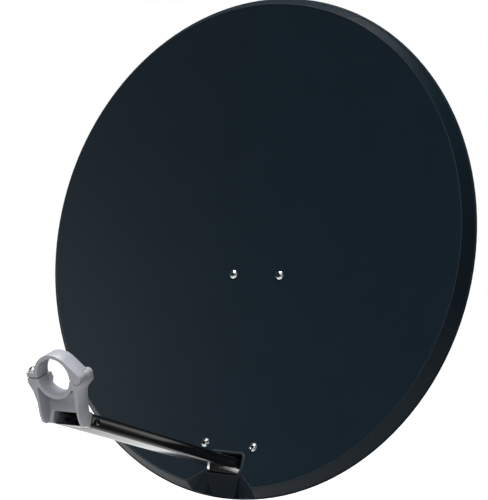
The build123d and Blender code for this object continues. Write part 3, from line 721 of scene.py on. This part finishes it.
# ---------------------------------------------------------------- sub-assemblies
@dataclass(frozen=True)
class Reflector:
    """The pressed dish, a piece of a paraboloid inside a flared skirt with a rolled hem.

    Attributes:
        aperture: Width between the creases.
        focal_length: Of the paraboloid.
        axis_clearance: From the paraboloid's axis to the dish's lower edge.
        elevation: Of the beam above the horizon, in degrees.
        reach: The rim's centre in front of the mast.
        rise: The rim's centre above the mast clamp's middle.
        edge_ease: Rounding of the crease, the hem, the cut-out and the notch.
        smooth_angle: Faces of the pressing that turn by less than this shade as one.
        SHEET: Heights over the bowl's skin that hold the sheet, back and front.
        LEVEL: How far a bowl face's corners may differ in that height.
        ALIGNED: Cosine between a face and the paraboloid from which they count as one.
    """

    aperture: float = 614.0
    focal_length: float = 373.0
    axis_clearance: float = 15.0
    elevation: float = 32.0
    reach: float = 158.0
    rise: float = 140.0
    edge_ease: float = 0.45
    smooth_angle: float = 9.0
    SHEET: ClassVar[tuple[float, float]] = (-1.8, 0.1)
    LEVEL: ClassVar[float] = 0.25
    ALIGNED: ClassVar[float] = 0.995

    def beam(self) -> Place:
        """The paraboloid's frame: z towards the satellite, its origin at the vertex."""
        ahead = raised(self.elevation)
        up = ahead.cross(RIGHT)
        half = self.aperture / 2
        height = self.axis_clearance + half
        depth = (half**2 + height**2) / (4 * self.focal_length)
        centre = Vector((0.0, -self.reach, self.rise))
        return Place(centre - up * height - ahead * depth, RIGHT, up, ahead)

    def off_skin(self, spot: Vector) -> float:
        """How far a local spot lies in front of the reflecting face, along the beam."""
        return spot.z - (spot.x**2 + spot.y**2) / (4 * self.focal_length)

    def build(self, frame: dict) -> None:
        """Make the reflector, with the paraboloid's own normals on its bowl.
        """
        bm = copied_node(frame, "reflector")
        ease_edges(bm, self.edge_ease)
        piece = make_piece(
            bm, "dish_reflector", "dish", Slot.DISH, ("reflector",), self.smooth_angle
        )
        self.shade_bowl(piece.data)

    def shade_bowl(self, mesh: bpy.types.Mesh) -> None:
        """Give the bowl's corners the paraboloid's exact normals.

        Args:
            mesh: The reflector's mesh.
        """
        beam = self.beam()
        spots = [beam.local(vert.co / MM) for vert in mesh.vertices]
        heights = [self.off_skin(spot) for spot in spots]
        back, front = self.SHEET
        normals = [Vector(corner.vector) for corner in mesh.corner_normals]
        for face in mesh.polygons:
            levels = [heights[index] for index in face.vertices]
            low, high = min(levels), max(levels)
            if high - low > self.LEVEL or high > front or low < back:
                continue
            for loop in face.loop_indices:
                spot = spots[mesh.loops[loop].vertex_index]
                slope = Vector((-spot.x, -spot.y, 2 * self.focal_length)).normalized()
                exact = beam.x * slope.x + beam.y * slope.y + beam.z * slope.z
                facing = 1.0 if face.normal.dot(exact) > 0.0 else -1.0
                if face.normal.dot(exact) * facing > self.ALIGNED:
                    normals[loop] = exact * facing
        mesh.normals_split_custom_set(normals)


@dataclass(frozen=True)
class Part:
    """How one CAD node is dressed.

    Attributes:
        node: The CAD node.
        body: The body that it moves with.
        ease: Rounding of its edges, in millimetres.
        corner: Chamfer of its hexagons' corners, or 0.
        thread: The thread on its shanks.
        finish: Its finish, where the slot's own isn't the one.
    """

    node: str
    body: str
    ease: float
    corner: float = 0.0
    thread: Thread | None = None
    finish: Finish | None = None

    def build(self, frame: dict, slots: dict[str, str]) -> None:
        """Round, chamfer and thread a copy of the node, which it replaces.

        Args:
            slots: The record's material slot of each node.
        """
        bm = copied_node(frame, self.node)
        join_flats(bm)
        if self.corner:
            trim_corners(bm, self.corner)
        ease_edges(bm, self.ease)
        if self.thread:
            self.thread.cut(bm)
        make_piece(
            bm,
            "dressed_" + self.node,
            self.body,
            Slot(slots[self.node]),
            (self.node,),
            finish=self.finish,
        )


# ---------------------------------------------------------------- studio
@dataclass(frozen=True)
class Lamp:
    """A round soft lamp.

    Attributes:
        name: Its name.
        place: Its middle, in metres.
        target: The spot that it faces, in metres.
        size: Its diameter, in metres.
        watts: Its power.
    """

    name: str
    place: tuple[float, float, float]
    target: tuple[float, float, float]
    size: float
    watts: float

    def build(self) -> None:
        """Hang the lamp and turn it to its target."""
        data = bpy.data.lights.new(self.name, "AREA")
        data.shape = "DISK"
        data.size = self.size
        data.energy = self.watts
        lamp = bpy.data.objects.new(self.name, data)
        bpy.context.scene.collection.objects.link(lamp)
        away = Vector(self.place) - Vector(self.target)
        lamp.matrix_world = Matrix.Translation(self.place) @ (
            away.to_track_quat("Z", "Y").to_matrix().to_4x4()
        )


@dataclass(frozen=True)
class Studio:
    """Floor, lamps, world and camera.

    Attributes:
        station: The camera's place, in millimetres.
        bearing: Degrees from the dish's front towards its right.
        height: Degrees of the camera above its target.
        roll: Degrees that the camera is turned about its own axis.
        lens: Focal length on a 36 mm sensor.
        sight: How far the camera sees, in metres.
        floor_drop: The floor's height, in millimetres.
        floor_half: Half the floor's width, in metres.
        room_light: What the walls and ceiling of the room give to matt surfaces.
        mirrored_light: How bright they are in a glossy surface.
        seen_floor: The floor's own glow, which makes it white, near the dish and far off.
        mirrored_floor: The same in a glossy surface.
        floor_span: Where near ends and far begins, in metres from the mast.
        floor_colour: The floor's own paint.
        floor_roughness: How matt that paint is.
        lamps: A key in front, a top lamp, a weak fill on the right and one behind.
    """

    station: tuple[float, float, float] = (692.07, -1486.89, 96.06)
    bearing: float = 27.3206
    height: float = -1.0558
    roll: float = 1.0861
    lens: float = 79.345
    sight: float = 60.0
    floor_drop: float = -520.0
    floor_half: float = 30.0
    room_light: float = 0.17
    mirrored_light: float = 0.1
    seen_floor: tuple[float, float] = (0.84, 1.0)
    mirrored_floor: tuple[float, float] = (1.1, 0.12)
    floor_span: tuple[float, float] = (0.9, 2.2)
    floor_colour: str = "#909090"
    floor_roughness: float = 0.6
    lamps: tuple[Lamp, ...] = (
        Lamp("key", (0.2, -2.3, 1.35), (0.0, -0.3, 0.1), 1.4, 24.5),
        Lamp("top", (-0.2, -0.9, 2.4), (0.0, -0.5, 0.0), 1.2, 66.0),
        Lamp("fill", (2.2, -1.2, 0.6), (0.0, -0.3, 0.1), 1.2, 3.0),
        Lamp("back", (0.2, 2.0, 1.6), (0.0, 0.4, -0.3), 1.4, 60.0),
    )

    def build(self) -> None:
        """Make the camera, the lamps, the world and the floor."""
        self.camera()
        self.world()
        self.floor()
        for lamp in self.lamps:
            lamp.build()

    def camera(self) -> None:
        """Make the camera, upright apart from a small roll."""
        data = bpy.data.cameras.new("camera")
        data.lens = self.lens
        data.clip_end = self.sight
        camera = bpy.data.objects.new("camera", data)
        bpy.context.scene.collection.objects.link(camera)
        turn, lift = math.radians(self.bearing), math.radians(self.height)
        back = Vector(
            (math.sin(turn) * math.cos(lift), -math.cos(turn) * math.cos(lift), math.sin(lift))
        )
        across = Vector((0.0, 0.0, 1.0)).cross(back).normalized()
        spin = Matrix.Rotation(math.radians(self.roll), 3, back)
        across = spin @ across
        up = back.cross(across)
        camera.matrix_world = Matrix.Translation(Vector(self.station) * MM) @ (
            Matrix((across, up, back)).transposed().to_4x4()
        )
        bpy.context.scene.camera = camera

    def world(self) -> None:
        """Make a dim world that shows as white where the camera looks past the dish."""
        world = bpy.data.worlds.new("studio")
        bpy.context.scene.world = world
        world.use_nodes = True
        tree = world.node_tree
        tree.nodes.clear()
        rays = add_node(tree, "ShaderNodeLightPath")
        shades = [
            add_node(tree, "ShaderNodeBackground", {"Color": linear(WHITE), "Strength": light})
            for light in (self.room_light, self.mirrored_light, 1.0)
        ]
        glossy = add_node(tree, "ShaderNodeMixShader", {}, {"Fac": rays.outputs["Is Glossy Ray"]})
        tree.links.new(shades[0].outputs[0], glossy.inputs[1])
        tree.links.new(shades[1].outputs[0], glossy.inputs[2])
        seen = add_node(tree, "ShaderNodeMixShader", {}, {"Fac": rays.outputs["Is Camera Ray"]})
        tree.links.new(glossy.outputs[0], seen.inputs[1])
        tree.links.new(shades[2].outputs[0], seen.inputs[2])
        add_node(tree, "ShaderNodeOutputWorld", {}, {"Surface": seen.outputs[0]})

    def floor(self) -> None:
        """Lay a wide floor below the dish."""
        bm = bmesh.new()
        bmesh.ops.create_grid(bm, x_segments=2, y_segments=2, size=self.floor_half)
        bmesh.ops.translate(bm, verts=bm.verts, vec=(0.0, 0.0, self.floor_drop * MM))
        mesh = bpy.data.meshes.new("floor")
        bm.to_mesh(mesh)
        bm.free()
        floor = bpy.data.objects.new("floor", mesh)
        bpy.context.scene.collection.objects.link(floor)
        mesh.materials.append(self.floor_paint())

    def floor_paint(self) -> bpy.types.Material:
        """Make the floor's paint, which shows as white and is bright in a gloss near the dish.

        Returns:
            The node-based material.
        """
        paint = bpy.data.materials.new("floor_white")
        paint.use_nodes = True
        tree = paint.node_tree
        tree.nodes.clear()
        rays = add_node(tree, "ShaderNodeLightPath")
        matt = add_node(
            tree,
            "ShaderNodeBsdfDiffuse",
            {"Color": linear(self.floor_colour), "Roughness": self.floor_roughness},
        )
        spot = add_node(tree, "ShaderNodeTexCoord").outputs["Object"]
        away = add_node(tree, "ShaderNodeVectorMath", {"operation": "LENGTH"}, {"Vector": spot})
        floor_shader = matt.outputs[0]
        for ray, (near, far) in (
            ("Is Glossy Ray", self.mirrored_floor),
            ("Is Camera Ray", self.seen_floor),
        ):
            light = add_node(
                tree,
                "ShaderNodeMapRange",
                {
                    "From Min": self.floor_span[0],
                    "From Max": self.floor_span[1],
                    "To Min": near,
                    "To Max": far,
                },
                {"Value": away.outputs["Value"]},
            )
            glow = add_node(
                tree,
                "ShaderNodeEmission",
                {"Color": linear(WHITE)},
                {"Strength": light.outputs["Result"]},
            )
            lit = add_node(tree, "ShaderNodeAddShader")
            tree.links.new(matt.outputs[0], lit.inputs[0])
            tree.links.new(glow.outputs[0], lit.inputs[1])
            both = add_node(tree, "ShaderNodeMixShader", {}, {"Fac": rays.outputs[ray]})
            tree.links.new(floor_shader, both.inputs[1])
            tree.links.new(lit.outputs[0], both.inputs[2])
            floor_shader = both.outputs[0]
        add_node(tree, "ShaderNodeOutputMaterial", {}, {"Surface": floor_shader})
        return paint


def clear_scene() -> None:
    """Remove what Blender starts with, and show colours as they are."""
    for item in list(bpy.data.objects):
        bpy.data.objects.remove(item)
    bpy.context.scene.view_settings.view_transform = "Standard"


PARTS = (
    Part("back_support", "dish", 0.4, finish=BLACK_POWDER),
    Part("pivot_sleeve", "dish", 0.3),
    Part("feed_arm", "dish", 0.25),
    Part("arm_bolts", "dish", 0.12, 0.7, Thread(ALONG_X, 6.0, 1.0, 18.0)),
    Part("arm_nuts", "dish", 0.12, 0.7),
    Part("reflector_screws", "dish", 0.3, 0.0, Thread(RIM_DIR, 6.0, 1.0, 12.0)),
    Part("reflector_washers", "dish", 0.15),
    Part("reflector_nuts", "dish", 0.12, 0.7),
    Part("lock_bolts", "dish", 0.4, 0.0, Thread(ALONG_X, 8.0, 1.25, 11.0)),
    Part("lock_washers", "dish", 0.15),
    Part("lock_nuts", "dish", 0.15, 0.9),
    Part("lnb_holder", "dish", 0.3),
    Part("holder_screws", "dish", 0.2),
    Part("hinge_pin", "dish", 0.2),
    Part("tilt_bracket", "mast_bracket", 0.4),
    Part("front_jaw", "mast_bracket", 0.35),
    Part("bracket_rivets", "mast_bracket", 0.4),
    Part("mast_bolts", "mast_bracket", 0.4, 0.0, Thread(ALONG_Y, 8.0, 1.25, 80.0)),
    Part("pivot_bolt", "mast_bracket", 0.15, 0.9, Thread(ALONG_X, 8.0, 1.25, 22.0)),
    Part("pivot_washers", "mast_bracket", 0.15),
    Part("pivot_nut", "mast_bracket", 0.15, 0.9),
    Part("rear_jaw", "rear_clamp", 0.35),
    Part("mast_washers", "rear_clamp", 0.15),
    Part("mast_nuts", "rear_clamp", 0.15, 0.9),
    Part("clamp_strap", "strap", 0.45),
    Part("clamp_screw", "clamp_screw_set", 0.25, 0.0, Thread(RING_UP, 5.0, 0.8, 9.0)),
    Part("clamp_washer", "clamp_screw_set", 0.12),
)


def dress_nodes(frame: dict) -> None:
    """Replace each CAD node by its dressed piece.
    """
    slots = {part["node"]: part["material_slot"] for part in frame["record"]["subparts"]}
    Reflector().build(frame)
    for part in PARTS:
        part.build(frame, slots)


def main() -> None:
    """Build every class in order."""
    logging.basicConfig(level=logging.INFO, format="%(message)s")
    clear_scene()
    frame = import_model()
    Studio().build()
    dress_nodes(frame)


if __name__ == "__main__":
    main()
